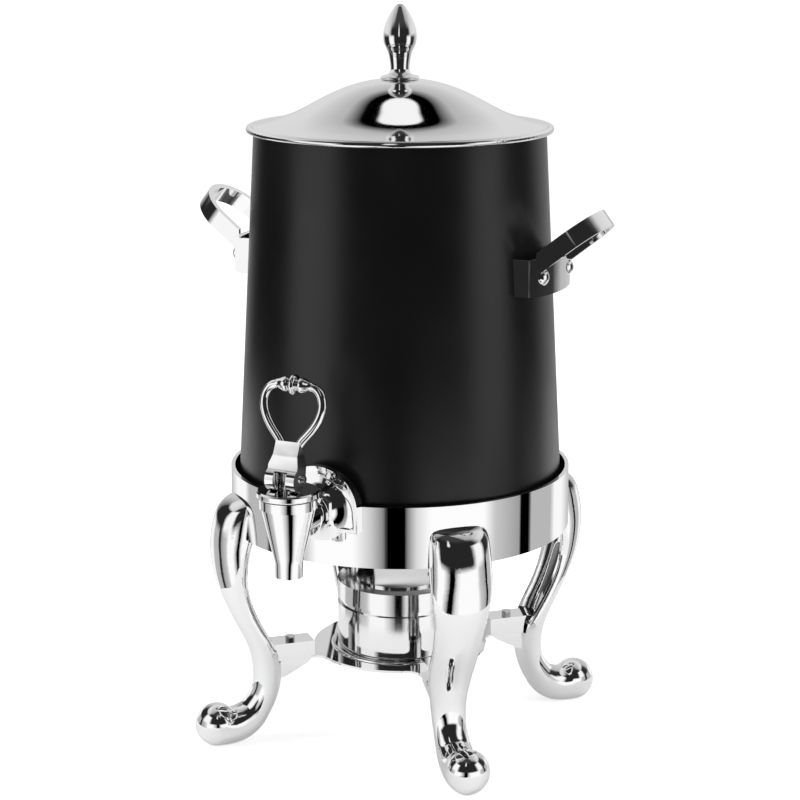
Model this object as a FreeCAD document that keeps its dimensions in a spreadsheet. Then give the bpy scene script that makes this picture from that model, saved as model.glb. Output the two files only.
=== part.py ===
import FreeCAD, Part, Sketcher
import math
import os
import re
from FreeCAD import Placement, Rotation, Vector

# A coffee urn on a four-legged stand. The origin is on the floor under the middle of the urn.
# The tap points to -Y, the handles to +X and -X, and the legs stand between them. Sizes are in mm.

doc = FreeCAD.newDocument("coffee_urn")
sheet = doc.addObject("Spreadsheet::Sheet", "sizes")
row = 0


def size(alias, value):
    global row
    row += 1
    sheet.set("A%d" % row, alias)
    sheet.set("B%d" % row, str(value))
    sheet.setAlias("B%d" % row, alias)


def get(alias):
    return float(sheet.get(alias))


# Stand
size("ring_radius", 130.0)
size("ring_wall", 2.0)
size("ring_bottom", 167.2)
size("ring_height", 45.6)
size("ring_bead_width", 3.0)
size("ring_bead_height", 2.5)
size("ledge_width", 15.0)
size("ledge_thickness", 1.5)
size("notch_radius", 14.0)
size("leg_wall", 3.0)
size("leg_width_factor", 1.0)
size("screw_height", 188.0)
size("screw_radius", 2.5)
size("screw_length", 12.0)
size("screw_head_radius", 5.0)
size("screw_head_height", 1.6)
size("tray_top", 66.0)
size("tray_thickness", 2.0)
size("tray_radius", 67.5)
size("tray_fillet", 12.0)
size("arm_half_width", 9.5)
size("arm_wall", 2.0)
size("arm_start", 73.0)
size("arm_end", 110.0)
size("arm_height", 14.0)
size("pin_place", 107.0)
size("pin_height", 71.0)
size("pin_radius", 2.1)
size("pin_length", 32.6)
size("nut_place", 90.0)
size("nut_screw_radius", 2.0)
size("nut_screw_length", 22.0)
size("nut_radius", 3.8)
size("nut_height", 3.0)
# Burner
size("collar_radius", 52.5)
size("collar_bead", 1.5)
size("cup_radius", 48.7)
size("cup_height", 35.2)
size("cup_wall", 1.0)
size("neck_step", 1.7)
size("neck_height", 12.0)
size("groove_height", 4.2)
size("burner_lid_height", 14.2)
size("burner_lid_fit", 0.3)
size("flame_radius", 22.0)
size("damper_radius", 34.0)
size("damper_thickness", 1.5)
size("damper_pivot_reach", 27.0)
size("damper_pivot_angle", 115.8)
size("damper_rivet_radius", 2.5)
size("damper_head_radius", 5.5)
size("damper_head_height", 1.8)
# Vessel
size("vessel_base_radius", 125.5)
size("vessel_mouth_radius", 109.0)
size("vessel_height", 300.5)
size("vessel_wall", 1.2)
size("vessel_base", 1.5)
size("mouth_lip", 3.4)
# Tap
size("shank_height", 210.0)
size("tap_reach", 179.0)
size("shank_radius", 8.0)
size("shank_bore", 5.0)
size("shank_start", 104.0)
size("shank_end", 153.0)
size("shank_hole_gap", 0.6)
size("spacer_radius", 12.0)
size("washer_radius", 12.5)
size("washer_thickness", 3.0)
size("lock_nut_radius", 14.4)
size("lock_nut_height", 7.0)
size("plate_radius", 31.5)
size("plate_drop", 15.0)
size("plate_front", 134.0)
size("plate_back", 118.0)
size("plate_wall", 2.0)
size("plate_rim", 2.5)
size("plate_rim_height", 1.4)
size("plate_gap", 0.3)
size("boss_radius", 24.0)
size("boss_top_radius", 12.5)
size("boss_height", 8.0)
size("jam_nut_radius", 17.0)
size("jam_nut_height", 4.0)
size("coupling_radius", 15.5)
size("coupling_length", 11.4)
size("tail_radius", 11.0)
size("nozzle_bottom", 172.4)
size("nozzle_length", 10.6)
size("nozzle_radius", 10.0)
size("nozzle_bore", 8.0)
size("seat_height", 192.0)
size("orifice_radius", 6.0)
size("chamber_low_radius", 9.7)
size("chamber_radius", 14.0)
size("chamber_taper", 22.0)
size("cone_top_radius", 19.5)
size("cone_height", 40.0)
size("collar_height", 6.7)
size("tap_collar_radius", 20.5)
size("gasket_thickness", 1.0)
size("bonnet_radius", 22.3)
size("bonnet_height", 5.0)
size("bonnet_plug", 9.2)
size("spring_chamber", 10.0)
size("spring_coil_radius", 7.5)
size("spring_wire_radius", 0.6)
size("spring_turns", 7.0)
size("stem_radius", 4.2)
size("stem_gap", 0.05)
size("stem_collar_radius", 9.2)
size("stem_collar_height", 1.5)
size("stem_top", 249.0)
size("seat_cup_radius", 9.0)
size("seat_cup_height", 6.5)
size("pivot_height", 244.0)
size("lever_pin_radius", 2.0)
size("heel_radius", 8.0)
size("heel_offset", 5.0)
size("fork_half_width", 11.5)
size("slot_half_width", 5.0)
size("lever_neck_half_width", 9.5)
size("lever_lean", 10.0)
size("heart_rod_radius", 3.0)
size("heart_half_width", 22.8)
size("heart_top", 65.0)
# Handles
size("handle_height", 370.0)
size("bracket_half_width", 37.0)
size("bracket_strip", 2.0)
size("bracket_width", 27.0)
size("bracket_front", 127.0)
size("bracket_bow", 7.0)
size("plate_half_width", 33.0)
size("handle_plate", 3.0)
size("loop_angle", 38.0)
size("loop_reach", 47.0)
size("loop_half_width", 29.5)
size("loop_band", 13.4)
size("loop_thickness", 4.8)
size("rivet_spacing", 48.0)
size("rivet_radius", 2.5)
size("rivet_head_radius", 5.8)
size("rivet_head_height", 3.0)
# Lid
size("lid_rise", 35.8)
size("lid_seat_radius", 12.0)
size("lid_brim_rise", 2.3)
size("lid_brim_radius", 110.0)
size("lid_sheet", 1.0)
size("lid_bead_radius", 2.5)
size("locating_radius", 102.7)
size("locating_depth", 10.0)
size("locating_wall", 1.2)
size("finial_height", 55.0)
size("finial_radius", 12.3)
size("finial_flange_radius", 14.5)
size("finial_flange_height", 2.6)
size("stud_radius", 3.0)
size("stud_length", 12.0)
doc.recompute()


# Names in a formula are cells of the sheet
def bound(formula):
    return re.sub(r"\b([a-z]+(?:_[a-z]+)+)\b", r"sizes.\1", formula)


def bind(item, **formulas):
    for name, formula in formulas.items():
        item.setExpression(name, bound(formula))


def place(item, x="0", y="0", z="0"):
    for axis, formula in (("x", x), ("y", y), ("z", z)):
        item.setExpression(".Placement.Base." + axis, bound(formula))


def plane(body, role):
    return [item for item in body.Origin.OriginFeatures if item.Role == role][0]


parts = []


def keep(item, label):
    item.Label = label
    parts.append(item)
    return item


# A sketch whose corners are given from the origin of its plane as formulas. It is fully constrained.
def outline(body, role, corners, name):
    sketch = body.newObject("Sketcher::SketchObject", name)
    sketch.AttachmentSupport = [(plane(body, role), "")]
    sketch.MapMode = "FlatFace"
    count = len(corners)
    for index in range(count):
        # Rough places on a circle: the constraints below move every corner to its own place
        start = math.radians(360.0 * index / count)
        end = math.radians(360.0 * (index + 1) / count)
        first = Vector(150 + 50 * math.cos(start), 150 + 50 * math.sin(start), 0)
        second = Vector(150 + 50 * math.cos(end), 150 + 50 * math.sin(end), 0)
        sketch.addGeometry(Part.LineSegment(first, second), False)
    for index in range(count):
        sketch.addConstraint(Sketcher.Constraint("Coincident", index, 2, (index + 1) % count, 1))
    for index, (across, along) in enumerate(corners):
        if across == "0":
            sketch.addConstraint(Sketcher.Constraint("PointOnObject", index, 1, -2))
        else:
            number = sketch.addConstraint(Sketcher.Constraint("DistanceX", -1, 1, index, 1, 100.0))
            sketch.setExpression("Constraints[%d]" % number, bound(across))
        if along == "0":
            sketch.addConstraint(Sketcher.Constraint("PointOnObject", index, 1, -1))
        else:
            number = sketch.addConstraint(Sketcher.Constraint("DistanceY", -1, 1, index, 1, 100.0))
            sketch.setExpression("Constraints[%d]" % number, bound(along))
    return sketch


# A turned piece: its half outline is given as pairs of radius and height
def turned(label, corners):
    body = doc.addObject("PartDesign::Body", label + "_body")
    sketch = outline(body, "XZ_Plane", corners, label + "_outline")
    feature = body.newObject("PartDesign::Revolution", label + "_turn")
    feature.Profile = sketch
    feature.ReferenceAxis = (sketch, ["V_Axis"])
    feature.Angle = 360
    body.Tip = feature
    doc.recompute()
    return body


# A round sketch on a plane of a body, at a height above its origin
def round_sketch(body, role, radius, height, name, across="0"):
    sketch = body.newObject("Sketcher::SketchObject", name)
    sketch.AttachmentSupport = [(plane(body, role), "")]
    sketch.MapMode = "FlatFace"
    sketch.addGeometry(Part.Circle(Vector(0, 50, 0), Vector(0, 0, 1), 5), False)
    number = sketch.addConstraint(Sketcher.Constraint("Radius", 0, 5.0))
    sketch.setExpression("Constraints[%d]" % number, bound(radius))
    if across == "0":
        sketch.addConstraint(Sketcher.Constraint("PointOnObject", 0, 3, -2))
    else:
        number = sketch.addConstraint(Sketcher.Constraint("DistanceX", -1, 1, 0, 3, 10.0))
        sketch.setExpression("Constraints[%d]" % number, bound(across))
    number = sketch.addConstraint(Sketcher.Constraint("DistanceY", -1, 1, 0, 3, 50.0))
    sketch.setExpression("Constraints[%d]" % number, bound(height))
    return sketch


def cylinder(name, radius, height, base=(0, 0, 0), turn=None):
    item = doc.addObject("Part::Cylinder", name)
    bind(item, Radius=radius, Height=height)
    item.Placement = Placement(Vector(*base), turn or Rotation())
    return item


def cut(name, base, tool):
    item = doc.addObject("Part::Cut", name)
    item.Base = base
    item.Tool = tool
    return item


def fuse(name, *shapes):
    item = doc.addObject("Part::MultiFuse", name)
    item.Shapes = list(shapes)
    return item


def group(label, items):
    item = doc.addObject("Part::Compound", label + "_group")
    item.Links = items
    return keep(item, label)


def feature(label, shape, placement=None):
    item = doc.addObject("Part::Feature", label + "_shape")
    item.Shape = shape
    if placement:
        item.Placement = placement
    return keep(item, label)


# Local Z of a piece on the shank points from the vessel to the user, and local Y points up
ALONG_SHANK = Rotation(Vector(1, 0, 0), 90)
OUT_AT_LEG = {"front_right": -45, "front_left": -135, "back_left": 135, "back_right": 45}


def on_shank(body):
    body.Placement = Placement(Vector(0, 0, get("shank_height")), ALONG_SHANK)
    place(body, z="shank_height")
    return body


# Stand ring: a band with a rolled top edge, a ledge for the vessel and a notch for the tap shank
ring = turned("stand_ring", [
    ("ring_radius - ring_wall - ledge_width", "ring_bottom"),
    ("ring_radius", "ring_bottom"),
    ("ring_radius", "ring_bottom + ring_height"),
    ("ring_radius - ring_bead_width", "ring_bottom + ring_height"),
    ("ring_radius - ring_bead_width", "ring_bottom + ring_height - ring_bead_height"),
    ("ring_radius - ring_wall", "ring_bottom + ring_height - ring_bead_height"),
    ("ring_radius - ring_wall", "ring_bottom + ledge_thickness"),
    ("ring_radius - ring_wall - ledge_width", "ring_bottom + ledge_thickness")])
notch = outline(ring, "XZ_Plane", [
    ("-notch_radius", "shank_height - notch_radius"),
    ("notch_radius", "shank_height - notch_radius"),
    ("notch_radius", "ring_bottom + ring_height + 10"),
    ("-notch_radius", "ring_bottom + ring_height + 10")], "stand_ring_notch")
notch_cut = ring.newObject("PartDesign::Pocket", "stand_ring_notch_cut")
notch_cut.Profile = notch
notch_cut.Type = 0
notch_cut.Length = 200
notch_cut.Reversed = True
ring.Tip = notch_cut
doc.recompute()
holes = []
for name, angle in OUT_AT_LEG.items():
    turn = Rotation(Vector(0, 0, 1), angle).multiply(Rotation(Vector(0, 1, 0), 90))
    hole = cylinder("ring_hole_" + name, "screw_radius", "ring_radius + 20", turn=turn)
    place(hole, z="screw_height")
    holes.append(hole)
ring_holes = fuse("ring_holes", *holes)
keep(cut("stand_ring_drilled", ring, ring_holes), "stand_ring")

# Leg screws: low round heads inside the band
screws = []
for name, angle in OUT_AT_LEG.items():
    turn = Rotation(Vector(0, 0, 1), angle).multiply(Rotation(Vector(0, 1, 0), 90))
    out = Rotation(Vector(0, 0, 1), angle).multVec(Vector(1, 0, 0))
    shaft = cylinder("leg_screw_shaft_" + name, "screw_radius", "screw_length + ring_wall", turn=turn)
    head = cylinder("leg_screw_head_" + name, "screw_head_radius", "screw_head_height", turn=turn)
    seat = "sqrt((ring_radius - ring_wall) ^ 2 - screw_head_radius ^ 2)"
    for item, reach in ((shaft, seat), (head, seat + " - screw_head_height")):
        place(item, "(%s) * %.9f" % (reach, out.x), "(%s) * %.9f" % (reach, out.y), "screw_height")
    screws.append(fuse("leg_screw_" + name, shaft, head))
group("leg_screws", screws)

# Legs: hollow castings, open to the inside above the tray arm and solid below it.
# Each level: height, outer reach, inner reach, half width. Reaches are from the urn's axis.
LEG_LEVELS = [
    (198.2, 127.0, 112.0, 15.0),
    (195.4, 133.7, 112.0, 19.5),
    (192.6, 139.3, 112.0, 21.3),
    (188.0, 144.0, 112.0, 22.4),
    (181.0, 147.4, 112.0, 23.0),
    (171.0, 149.8, 113.0, 23.4),
    (157.0, 150.8, 117.5, 23.4),
    (144.0, 149.8, 120.5, 22.4),
    (130.0, 147.0, 121.5, 20.6),
    (117.0, 142.4, 119.5, 19.2),
    (104.0, 136.8, 115.0, 18.4),
    (91.0, 130.5, 108.5, 17.9),
    (81.0, 125.6, 103.0, 17.3),
    (71.0, 121.9, 98.8, 16.2),
    (60.0, 119.8, 97.6, 14.4)]
# Foot: outer point and inner point of each fanned section, and its half width
FOOT_SECTIONS = [
    ((119.4, 52.0), (98.2, 49.5), 13.4),
    ((120.4, 44.5), (99.6, 41.0), 12.8),
    ((122.9, 38.3), (102.0, 32.8), 12.6),
    ((126.4, 33.4), (105.8, 24.4), 12.8),
    ((130.6, 30.0), (110.6, 15.8), 13.2),
    ((135.2, 28.4), (118.0, 7.6), 13.8),
    ((140.0, 28.3), (129.0, 1.6), 14.5),
    ((144.8, 30.0), (141.5, -0.4), 15.7)]
TOE_REACH = 149.5
TOE_RADIUS = 16.5
TOE_SINK = 0.4
SECTION_POINTS = 20
SECTION_POWER = 2.05


# A closed curve round a section of a leg: an ellipse with fuller corners
def leg_section(outer, inner, half_width, power=SECTION_POWER):
    middle = (outer + inner) * 0.5
    reach = (outer - inner) * 0.5
    points = []
    for index in range(SECTION_POINTS):
        angle = 2 * math.pi * index / SECTION_POINTS
        across = math.copysign(abs(math.cos(angle)) ** (2 / power), math.cos(angle))
        side = math.copysign(abs(math.sin(angle)) ** (2 / power), math.sin(angle))
        points.append(middle + reach * across + Vector(0, half_width * side, 0))
    curve = Part.BSplineCurve()
    curve.interpolate(points, PeriodicFlag=True)
    return Part.Wire([curve.toShape()])


def leg_shape():
    reach_shift = get("ring_radius") - 130.0
    widen = get("leg_width_factor")
    wall = get("leg_wall")
    sections = []
    for height, outer, inner, half in LEG_LEVELS:
        sections.append((Vector(outer + reach_shift, 0, height), Vector(inner + reach_shift, 0, height),
                         half * widen))
    for outer, inner, half in FOOT_SECTIONS:
        sections.append((Vector(outer[0] + reach_shift, 0, outer[1]),
                         Vector(inner[0] + reach_shift, 0, inner[1]), half * widen))
    toe_middle = Vector(TOE_REACH + reach_shift, 0, TOE_RADIUS - TOE_SINK)
    sections.append((toe_middle + Vector(0, 0, TOE_RADIUS), toe_middle - Vector(0, 0, TOE_RADIUS),
                     TOE_RADIUS, 2.0))
    upper = Part.makeLoft([leg_section(*section) for section in sections[:-4]], True, False)
    lower = Part.makeLoft([leg_section(*section) for section in sections[-5:]], True, False)
    body = upper.fuse(lower)
    return body, sections, wall, reach_shift, toe_middle


def solid_of(shape):
    solids = shape.Solids
    return max(solids, key=lambda one: one.Volume)


def make_leg():
    body, sections, wall, reach_shift, toe_middle = leg_shape()
    toe = Part.makeSphere(TOE_RADIUS + 0.02, toe_middle)
    body = body.fuse(toe)
    # The cast lug that carries the tray arm
    lug_half = get("arm_half_width") - 0.5
    under_tray = get("tray_top") - get("tray_thickness")
    lug = Part.makePolygon([Vector(75.5, -lug_half, under_tray), Vector(77.5, -lug_half, 61.0),
                            Vector(97.0, -lug_half, 51.0), Vector(108.0, -lug_half, 50.0),
                            Vector(108.0, -lug_half, under_tray), Vector(75.5, -lug_half, under_tray)])
    lug = Part.Face(lug).extrude(Vector(0, 2 * lug_half, 0))
    body = body.fuse(lug)
    # The hollow back, from the tray arm up to just under the top
    hollow = []
    for outer, inner, half in sections[:len(LEG_LEVELS) - 1]:
        if outer.z < 194:
            top = outer - Vector(wall, 0, 0)
            hollow.append((top, inner - Vector(14, 0, 0), half - wall))
    last_outer, last_inner, last_half = hollow[-1]
    floor_shift = Vector(-1.6, 0, under_tray - last_outer.z)
    hollow.append((last_outer + floor_shift, last_inner + floor_shift, last_half - 1.0))
    cavity = Part.makeLoft([leg_section(*section) for section in hollow], True, False)
    # A post inside the hollow for the screw that holds the leg to the ring
    ring_radius = get("ring_radius")
    post = Part.makeCylinder(6.0, 16.0, Vector(ring_radius, 0, get("screw_height")), Vector(1, 0, 0))
    cavity = cavity.cut(post)
    body = body.cut(cavity)
    ring_space = Part.makeCylinder(ring_radius, 60.0, Vector(0, 0, get("ring_bottom")))
    body = body.cut(ring_space)
    tapped = Part.makeCylinder(get("screw_radius"), get("screw_length"),
                               Vector(ring_radius - 1, 0, get("screw_height")), Vector(1, 0, 0))
    tapped_end = Part.makeCylinder(get("screw_radius"), get("screw_length") + 0.2,
                                   Vector(ring_radius, 0, get("screw_height")), Vector(1, 0, 0))
    body = body.cut(tapped.fuse(tapped_end))
    cross = Part.makeCylinder(get("pin_radius"), 60.0,
                              Vector(get("pin_place"), -30, get("pin_height")), Vector(0, 1, 0))
    body = body.cut(cross)
    lug_hole = Part.makeCylinder(get("nut_screw_radius"), 30.0,
                                 Vector(get("nut_place"), 0, under_tray - 11), Vector(0, 0, 1))
    body = body.cut(lug_hole)
    floor = Part.makeBox(400, 200, 20, Vector(-100, -100, -20))
    body = body.cut(floor)
    return solid_of(body)


leg = make_leg()
for name, angle in OUT_AT_LEG.items():
    feature("leg_" + name, leg, Placement(Vector(), Rotation(Vector(0, 0, 1), angle)))


# Burner tray: a round plate with four arms that rise into box ends, and a bead round the burner's seat
def make_tray():
    top = get("tray_top")
    thickness = get("tray_thickness")
    half = get("arm_half_width")
    radius = get("tray_radius")
    fillet = get("tray_fillet")
    start = get("arm_start")
    end = get("arm_end")
    wall = get("arm_wall")
    height = get("arm_height")
    low = Vector(0, 0, top - thickness)
    plate = Part.makeCylinder(radius, thickness, low)
    # The fillet's centre is its radius away from both the disc and the arm's side
    offset = half + fillet
    along = math.sqrt((radius + fillet) ** 2 - offset ** 2)
    for angle in OUT_AT_LEG.values():
        turn = Rotation(Vector(0, 0, 1), angle)
        arm = Part.makeBox(start + wall, 2 * half, thickness, Vector(0, -half, low.z))
        for side in (1, -1):
            corner = Part.makeBox(along, offset, thickness, Vector(0, min(0, side * offset), low.z))
            corner = corner.cut(Part.makeCylinder(fillet, thickness, Vector(along, side * offset, low.z)))
            corner = corner.cut(Part.makeCylinder(radius * 3, thickness, low).cut(
                Part.makeCylinder(math.hypot(along, half) + 1e-6, thickness, low)))
            arm = arm.fuse(corner)
        outer = Part.makeBox(end - start, 2 * half, height, Vector(start, -half, low.z))
        inner = Part.makeBox(end - start, 2 * (half - wall), height - wall,
                             Vector(start + wall, -(half - wall), low.z))
        arm = arm.fuse(outer.cut(inner))
        hole = Part.makeCylinder(get("nut_screw_radius"), 40, Vector(get("nut_place"), 0, low.z), Vector(0, 0, 1))
        cross = Part.makeCylinder(get("pin_radius"), 60, Vector(get("pin_place"), -30, get("pin_height")),
                                  Vector(0, 1, 0))
        arm = arm.cut(hole).cut(cross)
        arm.rotate(Vector(), Vector(0, 0, 1), angle)
        plate = plate.fuse(arm)
    bead = Part.makeTorus(get("collar_radius"), get("collar_bead"), Vector(0, 0, top))
    plate = plate.fuse(bead.cut(Part.makeBox(300, 300, 20, Vector(-150, -150, low.z - 20 + thickness / 2))))
    return solid_of(plate.removeSplitter())


feature("burner_tray", make_tray())

pins = []
nuts = []
for name, angle in OUT_AT_LEG.items():
    out = Rotation(Vector(0, 0, 1), angle)
    side = out.multVec(Vector(0, 1, 0))
    forth = out.multVec(Vector(1, 0, 0))
    pin = cylinder("tray_pin_" + name, "pin_radius", "pin_length",
                   turn=out.multiply(Rotation(Vector(1, 0, 0), -90)))
    place(pin, "pin_place * %.9f - pin_length / 2 * %.9f" % (forth.x, side.x),
          "pin_place * %.9f - pin_length / 2 * %.9f" % (forth.y, side.y), "pin_height")
    pins.append(pin)
    shaft = cylinder("tray_screw_shaft_" + name, "nut_screw_radius", "nut_screw_length")
    place(shaft, "nut_place * %.9f" % forth.x, "nut_place * %.9f" % forth.y,
          "tray_top - tray_thickness + arm_height + nut_height - nut_screw_length")
    head = doc.addObject("Part::Prism", "tray_screw_head_" + name)
    head.Polygon = 6
    bind(head, Circumradius="nut_radius", Height="nut_height")
    head.Placement.Rotation = out
    place(head, "nut_place * %.9f" % forth.x, "nut_place * %.9f" % forth.y,
          "tray_top - tray_thickness + arm_height")
    nuts.append(fuse("tray_screw_" + name, shaft, head))
group("tray_pins", pins)
group("tray_screws", nuts)

# Fuel holder: a cup with a stepped neck, a lid over the neck, and a disc that swings over the opening
cup_top = "tray_top + cup_height"
lid_base = "tray_top + cup_height + groove_height"
lid_top = "tray_top + cup_height + groove_height + burner_lid_height"
keep(turned("fuel_cup", [
    ("0", "tray_top"),
    ("cup_radius", "tray_top"),
    ("cup_radius", cup_top),
    ("cup_radius - neck_step", cup_top),
    ("cup_radius - neck_step", cup_top + " + neck_height"),
    ("cup_radius - neck_step - cup_wall", cup_top + " + neck_height"),
    ("cup_radius - neck_step - cup_wall", cup_top + " - cup_wall"),
    ("cup_radius - cup_wall", cup_top + " - cup_wall"),
    ("cup_radius - cup_wall", "tray_top + cup_wall"),
    ("0", "tray_top + cup_wall")]), "fuel_cup")
burner_lid = turned("fuel_cup_lid", [
    ("flame_radius", lid_top),
    ("cup_radius", lid_top),
    ("cup_radius", lid_base),
    ("cup_radius - neck_step + burner_lid_fit", lid_base),
    ("cup_radius - neck_step + burner_lid_fit", cup_top + " + neck_height"),
    ("cup_radius - neck_step - cup_wall - 2", cup_top + " + neck_height"),
    ("cup_radius - neck_step - cup_wall - 2", lid_top + " - cup_wall"),
    ("flame_radius", lid_top + " - cup_wall")])
pivot_x = "damper_pivot_reach * sin(damper_pivot_angle)"
pivot_y = "-damper_pivot_reach * cos(damper_pivot_angle)"
lid_hole = cylinder("burner_lid_hole", "damper_rivet_radius", "40")
place(lid_hole, pivot_x, pivot_y, lid_top + " - 20")
keep(cut("fuel_cup_lid_drilled", burner_lid, lid_hole), "fuel_cup_lid")
disc = cylinder("damper_disc", "damper_radius", "damper_thickness")
place(disc, z=lid_top)
disc_hole = cylinder("damper_hole", "damper_rivet_radius + stem_gap", "10")
place(disc_hole, pivot_x, pivot_y, lid_top + " - 2")
keep(cut("damper_plate_drilled", disc, disc_hole), "damper_plate")
rivet = turned("damper_rivet", [
    ("0", "-cup_wall - 1"),
    ("damper_rivet_radius + 1.5", "-cup_wall - 1"),
    ("damper_rivet_radius + 1.5", "-cup_wall"),
    ("damper_rivet_radius", "-cup_wall"),
    ("damper_rivet_radius", "damper_thickness + 0.1"),
    ("damper_head_radius", "damper_thickness + 0.1"),
    ("damper_head_radius", "damper_thickness + 0.8"),
    ("damper_head_radius - 1.5", "damper_thickness + damper_head_height"),
    ("0", "damper_thickness + damper_head_height")])
place(rivet, pivot_x, pivot_y, lid_top)
keep(rivet, "damper_rivet")

# Vessel: a spun cone with a flat base, an inner lip at the mouth and a hole for the tap shank
vessel_low = "ring_bottom + ledge_thickness"
vessel_high = "ring_bottom + ledge_thickness + vessel_height"
vessel = turned("urn_vessel", [
    ("0", vessel_low),
    ("vessel_base_radius", vessel_low),
    ("vessel_mouth_radius", vessel_high),
    ("vessel_mouth_radius - mouth_lip", vessel_high),
    ("vessel_mouth_radius - mouth_lip", vessel_high + " - vessel_wall"),
    ("vessel_mouth_radius - vessel_wall", vessel_high + " - vessel_wall"),
    ("vessel_base_radius - vessel_wall", vessel_low + " + vessel_base"),
    ("0", vessel_low + " + vessel_base")])
shank_hole = round_sketch(vessel, "XZ_Plane", "shank_radius + shank_hole_gap", "shank_height", "shank_hole")
hole_cut = vessel.newObject("PartDesign::Pocket", "shank_hole_cut")
hole_cut.Profile = shank_hole
hole_cut.Type = 0
hole_cut.Length = 200
hole_cut.Reversed = True
vessel.Tip = hole_cut
keep(vessel, "urn_vessel")


# The cone of the vessel's outer wall, and that of its inner wall
def vessel_cone(name, base_radius, top_radius, low, high):
    item = doc.addObject("Part::Cone", name)
    bind(item, Radius1=base_radius, Radius2=top_radius, Height=high + " - (" + low + ")")
    place(item, z=low)
    return item


outer_cone = vessel_cone("outer_cone", "vessel_base_radius", "vessel_mouth_radius", vessel_low, vessel_high)
inner_cone = vessel_cone("inner_cone", "vessel_base_radius - vessel_wall",
                         "vessel_mouth_radius - vessel_wall",
                         vessel_low + " + vessel_base", vessel_high + " - vessel_wall")

# Tap fixing: washers shaped to the wall, lock nut inside, spacer flange and jam nut outside
wall_place = ("vessel_base_radius - (vessel_base_radius - vessel_mouth_radius)"
              " * (shank_height - ring_bottom - ledge_thickness) / vessel_height")


def shank_ring(name, outer, inner, start, length):
    body = turned(name, [(inner, start), (outer, start), (outer, start + " + " + length),
                         (inner, start + " + " + length)])
    return on_shank(body)


outer_washer = shank_ring("outer_washer_blank", "washer_radius", "shank_radius",
                          wall_place + " - 4", "washer_thickness + 4")
keep(cut("outer_washer_cut", outer_washer, outer_cone), "tap_outer_washer")
inner_washer = shank_ring("inner_washer_blank", "washer_radius", "shank_radius",
                          wall_place + " - vessel_wall - washer_thickness", "washer_thickness + 4")
inner_washer_cut = doc.addObject("Part::Common", "inner_washer_cut")
inner_washer_cut.Base = inner_washer
inner_washer_cut.Tool = inner_cone
keep(inner_washer_cut, "tap_inner_washer")


def hex_nut(label, radius, height, bore, start):
    prism = doc.addObject("Part::Prism", label + "_prism")
    prism.Polygon = 6
    bind(prism, Circumradius=radius, Height=height)
    prism.Placement = Placement(Vector(0, 0, get("shank_height")),
                                ALONG_SHANK.multiply(Rotation(Vector(0, 0, 1), 30)))
    place(prism, y="-(" + start + ")", z="shank_height")
    drill = cylinder(label + "_drill", bore, height, turn=ALONG_SHANK)
    place(drill, y="-(" + start + ")", z="shank_height")
    return keep(cut(label + "_cut", prism, drill), label)


hex_nut("tap_lock_nut", "lock_nut_radius", "lock_nut_height", "shank_radius",
        wall_place + " - vessel_wall - washer_thickness - lock_nut_height")
face_back = "plate_front - plate_wall"
keep(on_shank(turned("tap_shank", [
    ("shank_bore", "shank_start"),
    ("shank_radius", "shank_start"),
    ("shank_radius", wall_place + " + washer_thickness"),
    ("spacer_radius", wall_place + " + washer_thickness"),
    ("spacer_radius", face_back),
    ("shank_radius", face_back),
    ("shank_radius", "shank_end"),
    ("shank_bore", "shank_end")])), "tap_shank")

# Escutcheon: an arch-topped dish that follows the ring, with a raised rim and a bell-shaped boss

def arch(name, inset, start, length):
    body = doc.addObject("PartDesign::Body", name)
    sketch = body.newObject("Sketcher::SketchObject", name + "_arch")
    sketch.AttachmentSupport = [(plane(body, "XY_Plane"), "")]
    sketch.MapMode = "FlatFace"
    circle = Part.Circle(Vector(0, 0, 0), Vector(0, 0, 1), 30)
    sketch.addGeometry(Part.ArcOfCircle(circle, 0, math.pi), False)
    sketch.addGeometry(Part.LineSegment(Vector(-30, 0, 0), Vector(-30, -15, 0)), False)
    sketch.addGeometry(Part.LineSegment(Vector(-30, -15, 0), Vector(30, -15, 0)), False)
    sketch.addGeometry(Part.LineSegment(Vector(30, -15, 0), Vector(30, 0, 0)), False)
    sketch.addConstraint(Sketcher.Constraint("Coincident", 0, 3, -1, 1))
    sketch.addConstraint(Sketcher.Constraint("PointOnObject", 0, 1, -1))
    sketch.addConstraint(Sketcher.Constraint("PointOnObject", 0, 2, -1))
    sketch.addConstraint(Sketcher.Constraint("Coincident", 0, 2, 1, 1))
    sketch.addConstraint(Sketcher.Constraint("Coincident", 1, 2, 2, 1))
    sketch.addConstraint(Sketcher.Constraint("Coincident", 2, 2, 3, 1))
    sketch.addConstraint(Sketcher.Constraint("Coincident", 3, 2, 0, 1))
    sketch.addConstraint(Sketcher.Constraint("Vertical", 1))
    sketch.addConstraint(Sketcher.Constraint("Vertical", 3))
    sketch.addConstraint(Sketcher.Constraint("Horizontal", 2))
    number = sketch.addConstraint(Sketcher.Constraint("Radius", 0, 30.0))
    sketch.setExpression("Constraints[%d]" % number, bound("plate_radius - (" + inset + ")"))
    number = sketch.addConstraint(Sketcher.Constraint("DistanceY", 2, 1, -1, 1, 15.0))
    sketch.setExpression("Constraints[%d]" % number, bound("plate_drop - (" + inset + ")"))
    pad = body.newObject("PartDesign::Pad", name + "_pad")
    pad.Profile = sketch
    pad.setExpression("Length", bound(length))
    body.Tip = pad
    body.Placement = Placement(Vector(0, 0, get("shank_height")), ALONG_SHANK)
    place(body, y="-(" + start + ")", z="shank_height")
    return body


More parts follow.
